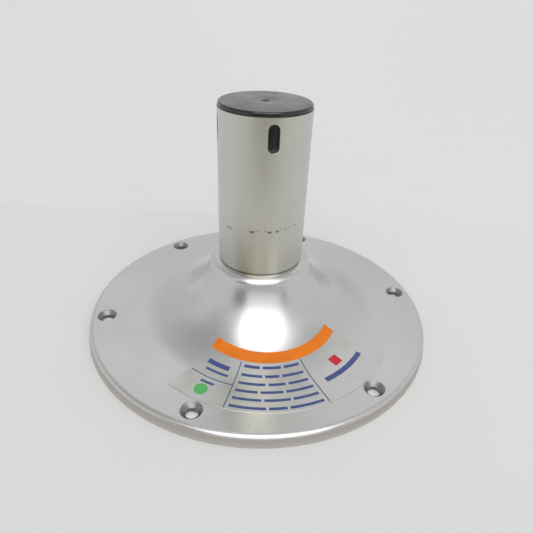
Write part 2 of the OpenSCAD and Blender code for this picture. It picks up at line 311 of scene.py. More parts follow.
def postBlocks():
    # Two cylinders joined at both ends. Each slot is a window in both, and rings run from the
    # window in to the slot's outline, straight through the wall and out to the inner window.
    part = postTube
    outerRadius, innerRadius = part["radius"], part["radius"] - part["wall"]
    windowZ = np.linspace(part["slotLow"] - part["slotRadius"] - part["windowReach"],
                          part["slotHigh"] + part["slotRadius"] + part["windowReach"], 17)
    lower = np.linspace(part["seatTop"] + part["edgeBreak"], windowZ[0], 22)[:-1]
    walls = np.concatenate([lower, windowZ])
    innerZ = np.concatenate([windowZ[::-1], np.linspace(windowZ[0], part["bottom"], 30)[1:]])
    profile = joinProfile([
        linePoints((innerRadius, part["bottom"]), (part["seatRadius"], part["bottom"]), 3),
        linePoints((part["seatRadius"], part["bottom"]), (part["seatRadius"], part["seatTop"]), 8),
        [[outerRadius - part["edgeBreak"], part["seatTop"]]],
        np.stack([0 * walls + outerRadius, walls], axis=-1),
        [[outerRadius, part["top"] - part["chamfer"]], [outerRadius - part["chamfer"], part["top"]]],
        linePoints((outerRadius - part["chamfer"], part["top"]), (innerRadius, part["top"]), 4),
        np.stack([0 * innerZ + innerRadius, innerZ], axis=-1),
    ])
    grid = revolve(profile, part["columns"])
    keep = np.ones((grid.shape[0] - 1, part["columns"]), dtype=bool)

    def rowsAt(radius):
        rows = [int(np.argmin(np.abs(profile[:, 0] - radius) * 10 + np.abs(profile[:, 1] - z)))
                for z in (windowZ[0], windowZ[-1])]
        return rows
    outerRows, innerRows = rowsAt(outerRadius), rowsAt(innerRadius)
    blocks, half = [], 8
    for k in range(part["slotCount"]):
        middle = k * part["columns"] // part["slotCount"]
        columns = np.arange(middle - half, middle + half) % part["columns"]
        keep[outerRows[0]:outerRows[1], columns] = False
        keep[innerRows[1]:innerRows[0], columns] = False
        cols = (2 * half, 4 * half)
        wrapped = np.roll(grid[:, :-1], 3 * half, axis=1)
        outer, inner = windowLoop(wrapped, outerRows, cols), windowLoop(wrapped, innerRows, cols)
        spine = np.clip(outer[:, 2], part["slotLow"], part["slotHigh"])
        away = np.stack([outer[:, 1], outer[:, 2] - spine], axis=-1)
        away /= np.linalg.norm(away, axis=1)[:, None]

        def outline(radius, shell, depth=0.0):
            y, z = radius * away[:, 0], spine + radius * away[:, 1]
            return np.stack([np.sqrt(shell ** 2 - y ** 2) - depth, y, z], axis=-1)

        def onShell(flat, shell):
            return np.stack([np.sqrt(shell ** 2 - flat[:, 1] ** 2), flat[:, 1], flat[:, 2]], axis=-1)
        slot, edge = part["slotRadius"], part["edgeBreak"]
        first = outline(slot + edge, outerRadius)
        last = outline(slot, innerRadius)
        rings = [onShell(ring, outerRadius) for ring in easeBetween(outer, first, (0, 0.3, 0.6, 0.85))]
        rings += [first, outline(slot, outerRadius, edge)]
        rings += easeBetween(rings[-1], last, (0.5, 1))
        rings += [onShell(ring, innerRadius) for ring in easeBetween(last, inner, (0.5, 1))]
        angle = 2 * np.pi * k / part["slotCount"]
        turn = np.array([[math.cos(angle), math.sin(angle), 0], [-math.sin(angle), math.cos(angle), 0], [0, 0, 1]])
        blocks.append((np.stack(rings) @ turn, None))
    return [(grid, keep)] + blocks


# Top cap

topCap = {
    "columns": 192, "height": 162.0, "thickness": 2.4, "radius": 29.6, "round": 1.2,
    "skirtRadius": 26.65, "skirtWall": 2.5, "skirtEnd": 132.3, "lead": 0.8, "crown": 1.6,
    "dishRadius": 9.75, "dishDepth": 0.4, "ventRadius": 2.1, "crownRise": 0.5,
}


def capProfile():
    part = topCap
    edgeTop, seat = part["height"], part["height"] - part["thickness"]
    top = edgeTop + part["crownRise"]
    # The crown is one shallow arc from the dish's lip down to the edge's rounding
    crownEdge = part["radius"] - part["round"]
    drop = (crownEdge ** 2 + part["crownRise"] ** 2 - part["dishRadius"] ** 2) / (2 * part["crownRise"])
    crownR = np.linspace(part["dishRadius"] + 0.3, crownEdge, 12)
    crownZ = top - drop + np.sqrt(part["dishRadius"] ** 2 + drop ** 2 - crownR ** 2)
    ball = (part["dishRadius"] ** 2 + part["dishDepth"] ** 2) / (2 * part["dishDepth"])
    r = np.linspace(part["ventRadius"] + 0.25, part["dishRadius"] - 0.35, 14)
    dish = np.stack([r, top - part["dishDepth"] + ball - np.sqrt(ball ** 2 - r ** 2)], axis=-1)
    ventTop = dish[0, 1] - 0.25
    skirt, inner = part["skirtRadius"], part["skirtRadius"] - part["skirtWall"]
    return joinProfile([
        linePoints((part["ventRadius"], seat - part["crown"]), (part["ventRadius"], ventTop), 4),
        [[part["ventRadius"] + 0.07, ventTop + 0.18]],
        dish,
        [[part["dishRadius"] - 0.1, top - 0.03]],
        np.stack([crownR, crownZ], axis=-1),
        arcPoints((crownEdge, edgeTop - part["round"]), part["round"], 88, 0, 13),
        [[part["radius"], seat], [skirt, seat]],
        linePoints((skirt, seat), (skirt, part["skirtEnd"] + part["lead"]), 12),
        [[skirt - part["lead"], part["skirtEnd"]], [inner, part["skirtEnd"]]],
        linePoints((inner, part["skirtEnd"]), (inner, seat - part["crown"]), 12),
        linePoints((inner, seat - part["crown"]), (part["ventRadius"], seat - part["crown"]), 10),
    ])


# Decal

decal = {
    "direction": 272.5, "shift": 17.0, "inside": 47.3, "outside": 92.5, "half": 52.7,
    "bandWidth": 7.1, "film": 0.25, "ink": 0.12, "ruleWidth": 0.6, "leftRule": -27.9,
    "rightRule": 13.4, "rows": 6, "barHeight": 1.9, "spotRadius": 4.35, "squareSide": 7.0,
}
decalTurn = math.radians(decal["direction"])
decalCentre = decal["shift"] * np.array([math.cos(decalTurn), math.sin(decalTurn)])
bandOut = decal["inside"] + decal["bandWidth"]
crossRuleRadius = (bandOut + decal["outside"]) / 2
squareAt = (decal["rightRule"] + decal["half"]) / 2
# Plain bars in the outer cells: inside and outside radius, first and last angle
cellBars = [
    (bandOut + 6.5, bandOut + 9.7, decal["leftRule"] - 20, decal["leftRule"] - 5.5),
    (bandOut + 12.6, bandOut + 14.2, decal["leftRule"] - 18, decal["leftRule"] - 4.5),
    (crossRuleRadius + 3.2, crossRuleRadius + 5, decal["leftRule"] - 15.5, decal["leftRule"] - 8.5),
    (crossRuleRadius + 0.8, crossRuleRadius + 4.4, squareAt - 14, squareAt + 14),
]


def decalPlan(radius, degrees):
    # Polar place about the decal's own centre, with angles from its centreline
    angle = decalTurn + np.radians(degrees)
    return decalCentre[0] + radius * np.cos(angle), decalCentre[1] + radius * np.sin(angle)


def thinShell(x, y, low, high):
    # A plan grid laid on the bell twice, low and high above it, and closed by four edge strips
    bottom, top = bellSurface(x, y, low), bellSurface(x, y, high)
    strips = [np.stack([bottom[side], top[side]]) for side in
              (np.s_[0, :], np.s_[-1, :], np.s_[:, 0], np.s_[:, -1])]
    return [(grid, None) for grid in [bottom, top] + strips]


def ringPatch(r0, r1, a0, a1, low, high, step=1.2):
    middle = (r0 + r1) / 2
    rows = max(2, int((r1 - r0) / step) + 1)
    cols = max(2, int(math.radians(a1 - a0) * middle / step) + 1)
    radius, degrees = np.meshgrid(np.linspace(r0, r1, rows), np.linspace(a0, a1, cols), indexing="ij")
    return thinShell(*decalPlan(radius, degrees), low, high)


def boxPatch(radius, degrees, length, width, low, high, step=1.2):
    # A rectangle in plan, its length along the decal's radius
    cx, cy = decalPlan(radius, degrees)
    angle = decalTurn + math.radians(degrees)
    u, v = np.meshgrid(np.linspace(-length / 2, length / 2, int(length / step) + 2),
                       np.linspace(-width / 2, width / 2, int(width / step) + 2), indexing="ij")
    return thinShell(cx + u * math.cos(angle) - v * math.sin(angle),
                     cy + u * math.sin(angle) + v * math.cos(angle), low, high)


def discPatch(radius, degrees, size, low, high):
    # A square grid squeezed on to a disc: (u, v) scaled by max(|u|, |v|) over its length
    cx, cy = decalPlan(radius, degrees)
    u, v = np.meshgrid(np.linspace(-1, 1, 17), np.linspace(-1, 1, 17), indexing="ij")
    reach = np.maximum(np.abs(u), np.abs(v)) / np.maximum(np.hypot(u, v), 1e-9)
    return thinShell(cx + size * u * reach, cy + size * v * reach, low, high)


def printBlocks(low, high):
    part = decal
    ruleIn, ruleOut = bandOut + 0.6, part["outside"] - 0.6
    blocks = []
    for degrees in (part["leftRule"], part["rightRule"]):
        blocks += boxPatch((ruleIn + ruleOut) / 2, degrees, ruleOut - ruleIn, part["ruleWidth"], low, high)
    half = part["ruleWidth"] / 2
    blocks += ringPatch(crossRuleRadius - half, crossRuleRadius + half, 0.6 - part["half"],
                        part["leftRule"] - 0.25, low, high)
    pitch = (part["outside"] - bandOut) / part["rows"]
    for i in range(part["rows"]):
        radius = bandOut + (i + 0.5) * pitch
        margin = 150 / radius
        start = part["leftRule"] + margin
        span = part["rightRule"] - part["leftRule"] - 2 * margin
        first, second = 0.28 + 0.05 * (i % 3), 0.66 - 0.06 * (i % 2)
        gap = 110 / radius / span
        for a, b in ((0, first), (first + gap, second), (second + gap, 1)):
            blocks += ringPatch(radius - part["barHeight"] / 2, radius + part["barHeight"] / 2,
                                start + a * span, start + b * span, low, high)
    for bar in cellBars:
        blocks += ringPatch(*bar, low, high)
    return blocks


# Shader groups: they put out masks and normals only

def newGroup(name, inputs, outputs):
    group = bpy.data.node_groups.new(name, "ShaderNodeTree")
    for label, kind, value in inputs:
        socket = group.interface.new_socket(name=label, in_out="INPUT", socket_type=kind)
        if value is not None:
            socket.default_value = value
    for label, kind in outputs:
        group.interface.new_socket(name=label, in_out="OUTPUT", socket_type=kind)
    return group, group.nodes.new("NodeGroupInput"), group.nodes.new("NodeGroupOutput")


class Wiring:
    # Short calls for building a node tree
    def __init__(self, tree):
        self.tree = tree

    def node(self, kind, **values):
        made = self.tree.nodes.new(kind)
        for name, value in values.items():
            setattr(made, name, value)
        return made

    def join(self, source, target):
        self.tree.links.new(source, target)

    def feed(self, socket, value):
        if isinstance(value, bpy.types.NodeSocket):
            self.join(value, socket)
        else:
            socket.default_value = value

    def math(self, operation, a, b=0.0, c=0.0, clamp=False):
        made = self.node("ShaderNodeMath", operation=operation, use_clamp=clamp)
        for socket, value in zip(made.inputs, (a, b, c)):
            self.feed(socket, value)
        return made.outputs[0]

    def ramp(self, value, low, high, outLow=0.0, outHigh=1.0):
        made = self.node("ShaderNodeMapRange", interpolation_type="SMOOTHSTEP")
        for socket, item in zip(made.inputs, (value, low, high, outLow, outHigh)):
            self.feed(socket, item)
        return made.outputs[0]

    def noise(self, vector, scale, detail=2.0, roughness=0.5, stretch=None):
        if stretch is not None:
            place = self.node("ShaderNodeMapping")
            self.feed(place.inputs["Vector"], vector)
            place.inputs["Scale"].default_value = stretch
            vector = place.outputs["Vector"]
        made = self.node("ShaderNodeTexNoise")
        for label, value in (("Vector", vector), ("Scale", scale), ("Detail", detail), ("Roughness", roughness)):
            self.feed(made.inputs[label], value)
        return made.outputs["Fac"]

    def mix(self, share, first, second, blend="MIX"):
        made = self.node("ShaderNodeMix", data_type="RGBA", blend_type=blend)
        self.feed(made.inputs[0], share)
        self.feed(made.inputs[6], first)
        self.feed(made.inputs[7], second)
        return made.outputs[2]

    def bump(self, height, strength, distance, normal=None):
        made = self.node("ShaderNodeBump")
        made.inputs["Strength"].default_value = strength
        made.inputs["Distance"].default_value = distance
        self.feed(made.inputs["Height"], height)
        if normal is not None:
            self.join(normal, made.inputs["Normal"])
        return made.outputs["Normal"]

    def use(self, group, **values):
        made = self.node("ShaderNodeGroup", node_tree=group)
        for label, value in values.items():
            self.feed(made.inputs[label], value)
        return made.outputs


def makeTurningMarks():
    # Fine rings left by a cutting tool: noise along the distance from the axis, which fades
    # in and out round the piece. Height is signed about 0.5, Mask says where rings are strong.
    group, inputs, outputs = newGroup("turningMarks", [
        ("Vector", "NodeSocketVector", None), ("Rings", "NodeSocketFloat", 900.0)],
        [("Height", "NodeSocketFloat"), ("Mask", "NodeSocketFloat")])
    wire = Wiring(group)
    split = wire.node("ShaderNodeSeparateXYZ")
    wire.join(inputs.outputs["Vector"], split.inputs[0])
    x, y, z = split.outputs
    radius = wire.math("SQRT", wire.math("ADD", wire.math("MULTIPLY", x, x), wire.math("MULTIPLY", y, y)))
    # Height is added so that the rings go on down a steep face
    along = wire.math("SUBTRACT", radius, z)
    line = wire.node("ShaderNodeTexNoise", noise_dimensions="1D")
    wire.join(wire.math("MULTIPLY", along, inputs.outputs["Rings"]), line.inputs["W"])
    line.inputs["Scale"].default_value = 1.0
    line.inputs["Detail"].default_value = 3.0
    fade = wire.noise(inputs.outputs["Vector"], 22.0, 2.0)
    strong = wire.ramp(fade, 0.38, 0.62)
    wire.join(line.outputs["Fac"], outputs.inputs["Height"])
    wire.join(strong, outputs.inputs["Mask"])
    return group


def makeCloud():
    # Soft patches of handling and dried dirt at two sizes
    group, inputs, outputs = newGroup("handlingClouds", [
        ("Vector", "NodeSocketVector", None), ("Size", "NodeSocketFloat", 30.0)],
        [("Wide", "NodeSocketFloat"), ("Fine", "NodeSocketFloat")])
    wire = Wiring(group)
    wide = wire.noise(inputs.outputs["Vector"], inputs.outputs["Size"], 3.0, 0.55)
    fine = wire.noise(inputs.outputs["Vector"], wire.math("MULTIPLY", inputs.outputs["Size"], 9.0), 4.0, 0.6)
    wire.join(wide, outputs.inputs["Wide"])
    wire.join(fine, outputs.inputs["Fine"])
    return group


def makeScratches():
    # Thin short scratches: the dark seams between long cells, kept where a second noise is high
    group, inputs, outputs = newGroup("fineScratches", [
        ("Vector", "NodeSocketVector", None), ("Scale", "NodeSocketFloat", 60.0),
        ("Width", "NodeSocketFloat", 0.02), ("Amount", "NodeSocketFloat", 0.5)],
        [("Mask", "NodeSocketFloat")])
    wire = Wiring(group)
    total = None
    for angle, stretch in ((0.5, (1.0, 0.09, 0.3)), (-0.9, (0.8, 0.07, 0.3))):
        place = wire.node("ShaderNodeMapping")
        wire.join(inputs.outputs["Vector"], place.inputs["Vector"])
        place.inputs["Rotation"].default_value = (0.0, 0.0, angle)
        place.inputs["Scale"].default_value = stretch
        cells = wire.node("ShaderNodeTexVoronoi", feature="DISTANCE_TO_EDGE")
        wire.join(place.outputs["Vector"], cells.inputs["Vector"])
        wire.join(inputs.outputs["Scale"], cells.inputs["Scale"])
        line = wire.math("LESS_THAN", cells.outputs["Distance"], inputs.outputs["Width"])
        patch = wire.noise(place.outputs["Vector"], wire.math("MULTIPLY", inputs.outputs["Scale"], 1.7), 1.0)
        keep = wire.math("GREATER_THAN", patch, wire.math("SUBTRACT", 1.0, inputs.outputs["Amount"]))
        mask = wire.math("MULTIPLY", line, keep)
        total = mask if total is None else wire.math("MAXIMUM", total, mask)
    wire.join(total, outputs.inputs["Mask"])
    return group


def makeSpecks():
    # Round pits and dirt specks of mixed sizes, in patches
    group, inputs, outputs = newGroup("dirtSpecks", [
        ("Vector", "NodeSocketVector", None), ("Scale", "NodeSocketFloat", 250.0),
        ("Amount", "NodeSocketFloat", 0.4)], [("Mask", "NodeSocketFloat")])
    wire = Wiring(group)
    cells = wire.node("ShaderNodeTexVoronoi")
    wire.join(inputs.outputs["Vector"], cells.inputs["Vector"])
    wire.join(inputs.outputs["Scale"], cells.inputs["Scale"])
    pick = wire.node("ShaderNodeSeparateColor")
    wire.join(cells.outputs["Color"], pick.inputs[0])
    chance = wire.math("LESS_THAN", pick.outputs[0], inputs.outputs["Amount"])
    size = wire.math("MULTIPLY", pick.outputs[1], 0.3)
    round_ = wire.ramp(wire.math("SUBTRACT", cells.outputs["Distance"], size), -0.06, 0.06, 1.0, 0.0)
    wire.join(wire.math("MULTIPLY", round_, chance), outputs.inputs["Mask"])
    return group


turningMarks = makeTurningMarks()
handlingClouds = makeCloud()
fineScratches = makeScratches()
dirtSpecks = makeSpecks()
print("shader groups made")


def newMaterial(name):
    material = bpy.data.materials.new(name)
    material.use_nodes = True
    tree = material.node_tree
    tree.nodes.clear()
    wire = Wiring(tree)
    shader = wire.node("ShaderNodeBsdfPrincipled")
    output = wire.node("ShaderNodeOutputMaterial")
    wire.join(shader.outputs["BSDF"], output.inputs["Surface"])
    place = wire.node("ShaderNodeTexCoord").outputs["Object"]
    return material, wire, shader, place


def rgb(red, green, blue):
    return (red, green, blue, 1.0)


# Materials

castMetal = {
    "colour": (0.675, 0.677, 0.67), "grime": (0.50, 0.485, 0.45), "roughness": 0.235,
    "ringCount": 1500.0, "ringBump": 0.08, "scratchScale": 55.0,
    "cutColour": (0.235, 0.237, 0.245), "throatColour": (0.15, 0.12, 0.095), "cutRoughness": 0.42,
    "sideFinishAndPaintedReflection": (0.515, 0.475, 0.445), "footPaintedLift": (0.585, 0.57, 0.55), "sideRoughness": 0.42,
    "roughColour": (0.42, 0.42, 0.41), "roughRoughness": 0.58,
}


def makeCastMetal():
    part = castMetal
    material, wire, shader, place = newMaterial("turned cast aluminium")
    rings = wire.use(turningMarks, Vector=place, Rings=part["ringCount"])
    cloud = wire.use(handlingClouds, Vector=place, Size=24.0)
    scratch = wire.use(fineScratches, Vector=place, Scale=part["scratchScale"], Width=0.010, Amount=0.2)[0]
    specks = wire.use(dirtSpecks, Vector=place, Scale=420.0, Amount=0.004)[0]
    cut = wire.node("ShaderNodeAttribute", attribute_name="cut").outputs["Fac"]
    under = wire.node("ShaderNodeAttribute", attribute_name="rough").outputs["Fac"]
    split = wire.node("ShaderNodeSeparateXYZ")
    wire.join(place, split.inputs[0])
    x, y, z = split.outputs
    radius = wire.math("SQRT", wire.math("ADD", wire.math("MULTIPLY", x, x), wire.math("MULTIPLY", y, y)))
    side = wire.math("MULTIPLY", wire.ramp(z, 0.0060, 0.0070, 1.0, 0.0), wire.ramp(radius, 0.1235, 0.1245))
    grain = wire.noise(place, 700.0, 3.0, 0.6)
    tone = wire.ramp(cloud["Wide"], 0.35, 0.68, 0.0, 0.16)
    colour = wire.mix(tone, rgb(*part["colour"]), rgb(0.61, 0.61, 0.595))
    colour = wire.mix(wire.math("MULTIPLY", specks, 0.5), colour, rgb(*part["grime"]))
    colour = wire.mix(wire.math("MULTIPLY", scratch, 0.06), colour, rgb(0.76, 0.76, 0.75))
    # The rim's side face is darker than the flange, partly its rougher finish and partly a painted warm reflection of
    # the table in front; near the floor it is painted lighter, a painted lift against the reflected contact shadow
    sideToneAndPaintedLift = wire.mix(wire.ramp(z, 0.001, 0.0045), rgb(*part["footPaintedLift"]), rgb(*part["sideFinishAndPaintedReflection"]))
    colour = wire.mix(side, colour, sideToneAndPaintedLift)
    colour = wire.mix(under, colour, rgb(*part["roughColour"]))
    # The screw holes are darker than the flange, and darker and browner still in the throat below about 5 mm, the
    # share varied by a fine noise
    darkTintShare = wire.ramp(grain, 0.35, 0.7, 0.75, 1.0)
    hole = wire.mix(wire.ramp(z, 0.0050, 0.0058, 1.0, 0.0), rgb(*part["cutColour"]), rgb(*part["throatColour"]))
    colour = wire.mix(wire.math("MULTIPLY", cut, darkTintShare), colour, hole)
    wire.join(colour, shader.inputs["Base Color"])
    shader.inputs["Metallic"].default_value = 1.0
    rough = wire.ramp(cloud["Wide"], 0.3, 0.7, part["roughness"] - 0.02, part["roughness"] + 0.05)
    rough = wire.math("ADD", rough, wire.math("MULTIPLY", cloud["Fine"], 0.05))
    rough = wire.math("ADD", rough, wire.math("MULTIPLY", scratch, 0.06))
    for mask, value in ((side, part["sideRoughness"]), (under, part["roughRoughness"]), (cut, part["cutRoughness"])):
        rough = wire.math("ADD", rough, wire.math("MULTIPLY", mask, wire.math("SUBTRACT", value, rough)))
    wire.join(rough, shader.inputs["Roughness"])
    height = wire.math("MULTIPLY", rings["Height"], wire.math("ADD", wire.math("MULTIPLY", rings["Mask"], 0.7), 0.3))
    height = wire.math("ADD", height, wire.math("MULTIPLY", wire.math("MULTIPLY", under, grain), 9.0))
    wire.join(wire.bump(height, part["ringBump"], 0.0001), shader.inputs["Normal"])
    return material


postMetal = {
    "colour": (0.632, 0.63, 0.603), "warm": (0.622, 0.612, 0.58), "dull": (0.60, 0.605, 0.565),
    "frontPaintedReflection": (0.60, 0.592, 0.52), "gapColour": (0.05, 0.05, 0.05),
    "roughness": 0.33, "wearHeight": 0.0868, "wearTilt": 0.06, "wearColour": (0.13, 0.11, 0.085),
    "lowPaintedReflection": (0.43, 0.41, 0.335), "reflectionTop": 0.104, "reflectionBottom": 0.054,
}


def dashesAt(wire, place):
    return wire.ramp(wire.noise(place, 260.0, 2.0, 0.6, stretch=(1.0, 1.0, 0.35)), 0.54, 0.68, 0.0, 0.45)


def makePostMetal():
    part = postMetal
    material, wire, shader, place = newMaterial("drawn tube aluminium")
    cloud = wire.use(handlingClouds, Vector=place, Size=26.0)
    drawn = wire.noise(place, 260.0, 3.0, 0.6, stretch=(1.0, 1.0, 0.02))
    bands = wire.noise(place, 38.0, 1.0, 0.5, stretch=(1.0, 1.0, 0.06))
    specks = wire.use(dirtSpecks, Vector=place, Scale=900.0, Amount=0.015)[0]
    scratch = wire.use(fineScratches, Vector=place, Scale=70.0, Width=0.014, Amount=0.4)[0]
    colour = wire.mix(wire.ramp(bands, 0.38, 0.64), rgb(*part["colour"]), rgb(*part["warm"]))
    colour = wire.mix(wire.ramp(cloud["Wide"], 0.45, 0.75, 0.0, 0.35), colour, rgb(*part["dull"]))
    colour = wire.mix(wire.math("MULTIPLY", specks, 0.6), colour, rgb(0.36, 0.35, 0.32))
    split = wire.node("ShaderNodeSeparateXYZ")
    wire.join(place, split.inputs[0])
    x, y, z = split.outputs

    def facing(heading, inner, outer):
        # 1 within inner degrees of the heading, 0 past outer
        a = math.radians(heading)
        along = wire.math("MULTIPLY_ADD", x, math.cos(a) / 0.03, wire.math("MULTIPLY", y, math.sin(a) / 0.03))
        return wire.ramp(along, math.cos(math.radians(outer)), math.cos(math.radians(inner)))

    # The side that faces the front is tinted olive, and darker low down, fading out by 104 mm: a painted reflection
    # of the bell, the label and the floor in front of it
    colour = wire.mix(facing(262, 8, 48), colour, rgb(*part["frontPaintedReflection"]))
    darkTintShare = wire.math("MULTIPLY", facing(250, 8, 31), wire.ramp(z, part["reflectionBottom"], part["reflectionTop"], 1.0, 0.0))
    darkTintShare = wire.math("MULTIPLY", darkTintShare, wire.ramp(cloud["Fine"], 0.25, 0.6, 0.8, 1.0))
    colour = wire.mix(darkTintShare, colour, rgb(*part["lowPaintedReflection"]))
    # Broken marks where a sleeve's lower edge has rubbed, in two places, a little tilted
    waver = wire.math("MULTIPLY", wire.math("SUBTRACT", wire.noise(place, 120.0, 1.0), 0.5), 0.003)
    ring = wire.math("SUBTRACT", wire.math("MULTIPLY_ADD", x, -part["wearTilt"], z), part["wearHeight"])
    offset = wire.math("ABSOLUTE", wire.math("ADD", ring, waver))
    where = wire.math("MAXIMUM", facing(214, 5, 8), facing(277, 30, 36))
    dashes = wire.math("MULTIPLY", wire.ramp(wire.noise(place, 420.0, 2.0), 0.49, 0.60), where)
    wear = wire.math("MULTIPLY", dashes, wire.ramp(offset, 0.0003, 0.0011, 0.85, 0.0))
    scuff = wire.math("MULTIPLY", wire.ramp(z, 0.122, 0.130), wire.ramp(z, 0.148, 0.156, 1.0, 0.0))
    scuff = wire.math("MULTIPLY", wire.math("MULTIPLY", scuff, facing(338, 4, 10)), dashesAt(wire, place))
    wear = wire.math("MAXIMUM", wear, scuff)
    colour = wire.mix(wear, colour, rgb(*part["wearColour"]))
    # Shadow line in the joint under the cap
    colour = wire.mix(wire.ramp(z, 0.1589, 0.1592), colour, rgb(*part["gapColour"]))
    wire.join(colour, shader.inputs["Base Color"])
    shader.inputs["Metallic"].default_value = 1.0
    rough = wire.ramp(cloud["Wide"], 0.3, 0.7, part["roughness"] - 0.03, part["roughness"] + 0.05)
    rough = wire.math("ADD", rough, wire.math("MULTIPLY", drawn, 0.05))
    wire.join(rough, shader.inputs["Roughness"])
    height = wire.math("ADD", wire.math("MULTIPLY", drawn, 0.5), wire.math("MULTIPLY", scratch, -0.4))
    height = wire.math("ADD", height, wire.math("MULTIPLY", specks, -0.7))
    wire.join(wire.bump(height, 0.12, 0.0001), shader.inputs["Normal"])
    return material


capPlastic = {
    "topPaintedSheen": (0.068, 0.068, 0.071), "edgeColour": (0.004, 0.004, 0.0045),
    "topRoughness": 0.33, "edgeRoughness": 0.12, "plugRoughness": 0.1, "gloss": 0.8,
}


def makeCapPlastic():
    part = capPlastic
    material, wire, shader, place = newMaterial("black moulded plastic")
    cloud = wire.use(handlingClouds, Vector=place, Size=60.0)
    scratch = wire.use(fineScratches, Vector=place, Scale=120.0, Width=0.016, Amount=0.45)[0]
    grain = wire.noise(place, 2600.0, 2.0, 0.5)
    split = wire.node("ShaderNodeSeparateXYZ")
    wire.join(place, split.inputs[0])
    x, y, z = split.outputs
    radius = wire.math("SQRT", wire.math("ADD", wire.math("MULTIPLY", x, x), wire.math("MULTIPLY", y, y)))
    rim = wire.ramp(radius, 0.0281, 0.0288)
    # The top is painted far lighter than the near-black edge and plug: a painted sheen on the black plastic
    colour = wire.mix(wire.math("MULTIPLY", scratch, 0.35), rgb(*part["topPaintedSheen"]), rgb(0.09, 0.09, 0.095))
    # The dish is painted darker, a painted shade in the hollow, and a narrow ring at its lip is painted lighter, a
    # painted highlight
    dish = wire.ramp(radius, 0.0088, 0.0098, 0.35, 0.0)
    colour = wire.mix(dish, colour, rgb(0.03, 0.03, 0.032))
    lip = wire.ramp(wire.math("ABSOLUTE", wire.math("SUBTRACT", radius, 0.0100)), 0.0002, 0.0006, 0.5, 0.0)
    colour = wire.mix(lip, colour, rgb(0.14, 0.14, 0.145))
    plug = wire.ramp(z, 0.1592, 0.1595, 1.0, 0.0)
    colour = wire.mix(wire.math("MAXIMUM", rim, plug), colour, rgb(*part["edgeColour"]))
    wire.join(colour, shader.inputs["Base Color"])
    shader.inputs["Specular IOR Level"].default_value = part["gloss"]
    rough = wire.ramp(cloud["Wide"], 0.3, 0.7, part["topRoughness"] - 0.04, part["topRoughness"] + 0.06)
    rough = wire.math("ADD", rough, wire.math("MULTIPLY", rim, part["edgeRoughness"] - part["topRoughness"]))
    rough = wire.math("ADD", rough, wire.math("MULTIPLY", plug, part["plugRoughness"] - part["topRoughness"]))
    rough = wire.math("ADD", rough, wire.math("MULTIPLY", scratch, 0.1))
    wire.join(rough, shader.inputs["Roughness"])
    height = wire.math("MULTIPLY", grain, wire.math("SUBTRACT", 1.0, rim))
    height = wire.math("ADD", height, wire.math("MULTIPLY", scratch, -0.8))
    wire.join(wire.bump(height, 0.15, 0.00006), shader.inputs["Normal"])
    return material


filmFinish = {"colour": (0.685, 0.687, 0.672), "roughness": 0.31}


def makeFilm():
    part = filmFinish
    material, wire, shader, place = newMaterial("clear film on metal")
    cloud = wire.use(handlingClouds, Vector=place, Size=42.0)
    grain = wire.noise(place, 1500.0, 3.0, 0.65)
    wrinkle = wire.noise(place, 120.0, 2.0, 0.5)
    specks = wire.use(dirtSpecks, Vector=place, Scale=600.0, Amount=0.05)[0]
    colour = wire.mix(wire.ramp(grain, 0.35, 0.7, 0.0, 0.4), rgb(*part["colour"]), rgb(0.61, 0.612, 0.59))
    colour = wire.mix(wire.ramp(cloud["Wide"], 0.50, 0.74, 0.0, 0.45), colour, rgb(0.52, 0.505, 0.46))
    colour = wire.mix(wire.math("MULTIPLY", specks, 0.5), colour, rgb(0.30, 0.27, 0.22))
    split = wire.node("ShaderNodeSeparateXYZ")
    wire.join(place, split.inputs[0])
    x, y, z = split.outputs
    radius = wire.math("SQRT", wire.math("ADD", wire.math("MULTIPLY", x, x), wire.math("MULTIPLY", y, y)))
    dull = wire.ramp(radius, (bandOut + 4) * mm, (bandOut + 15) * mm, 1.0, 0.0)
    dull = wire.math("MULTIPLY", dull, wire.ramp(cloud["Fine"], 0.35, 0.6, 0.3, 0.8))
    colour = wire.mix(dull, colour, rgb(0.45, 0.44, 0.40))
    wire.join(colour, shader.inputs["Base Color"])
    shader.inputs["Metallic"].default_value = 1.0
    shader.inputs["Coat Roughness"].default_value = 0.12
    shader.inputs["Coat Weight"].default_value = 0.25
    rough = wire.ramp(cloud["Wide"], 0.3, 0.7, part["roughness"] - 0.04, part["roughness"] + 0.05)
    wire.join(rough, shader.inputs["Roughness"])
    height = wire.math("ADD", wire.math("MULTIPLY", wrinkle, 3.0), wire.math("MULTIPLY", grain, 0.35))
    wire.join(wire.bump(height, 0.12, 0.0001), shader.inputs["Normal"])
    return material


inkFinish = {"roughness": 0.38, "gloss": 0.3}


def makeInk(name, colour, worn):
    material, wire, shader, place = newMaterial(name)
    cloud = wire.use(handlingClouds, Vector=place, Size=70.0)
    speckle = wire.noise(place, 1800.0, 3.0, 0.6)
    tone = wire.mix(wire.ramp(cloud["Wide"], 0.35, 0.7, 0.0, 0.6), rgb(*colour), rgb(*worn))
    tone = wire.mix(wire.ramp(speckle, 0.4, 0.72, 0.0, 0.4), tone, rgb(*worn))
    wire.join(tone, shader.inputs["Base Color"])
    shader.inputs["Specular IOR Level"].default_value = inkFinish["gloss"]
    rough = wire.ramp(cloud["Fine"], 0.3, 0.7, inkFinish["roughness"] - 0.05, inkFinish["roughness"] + 0.08)
    wire.join(rough, shader.inputs["Roughness"])
    wire.join(wire.bump(speckle, 0.1, 0.00008), shader.inputs["Normal"])
    return material


# Pieces

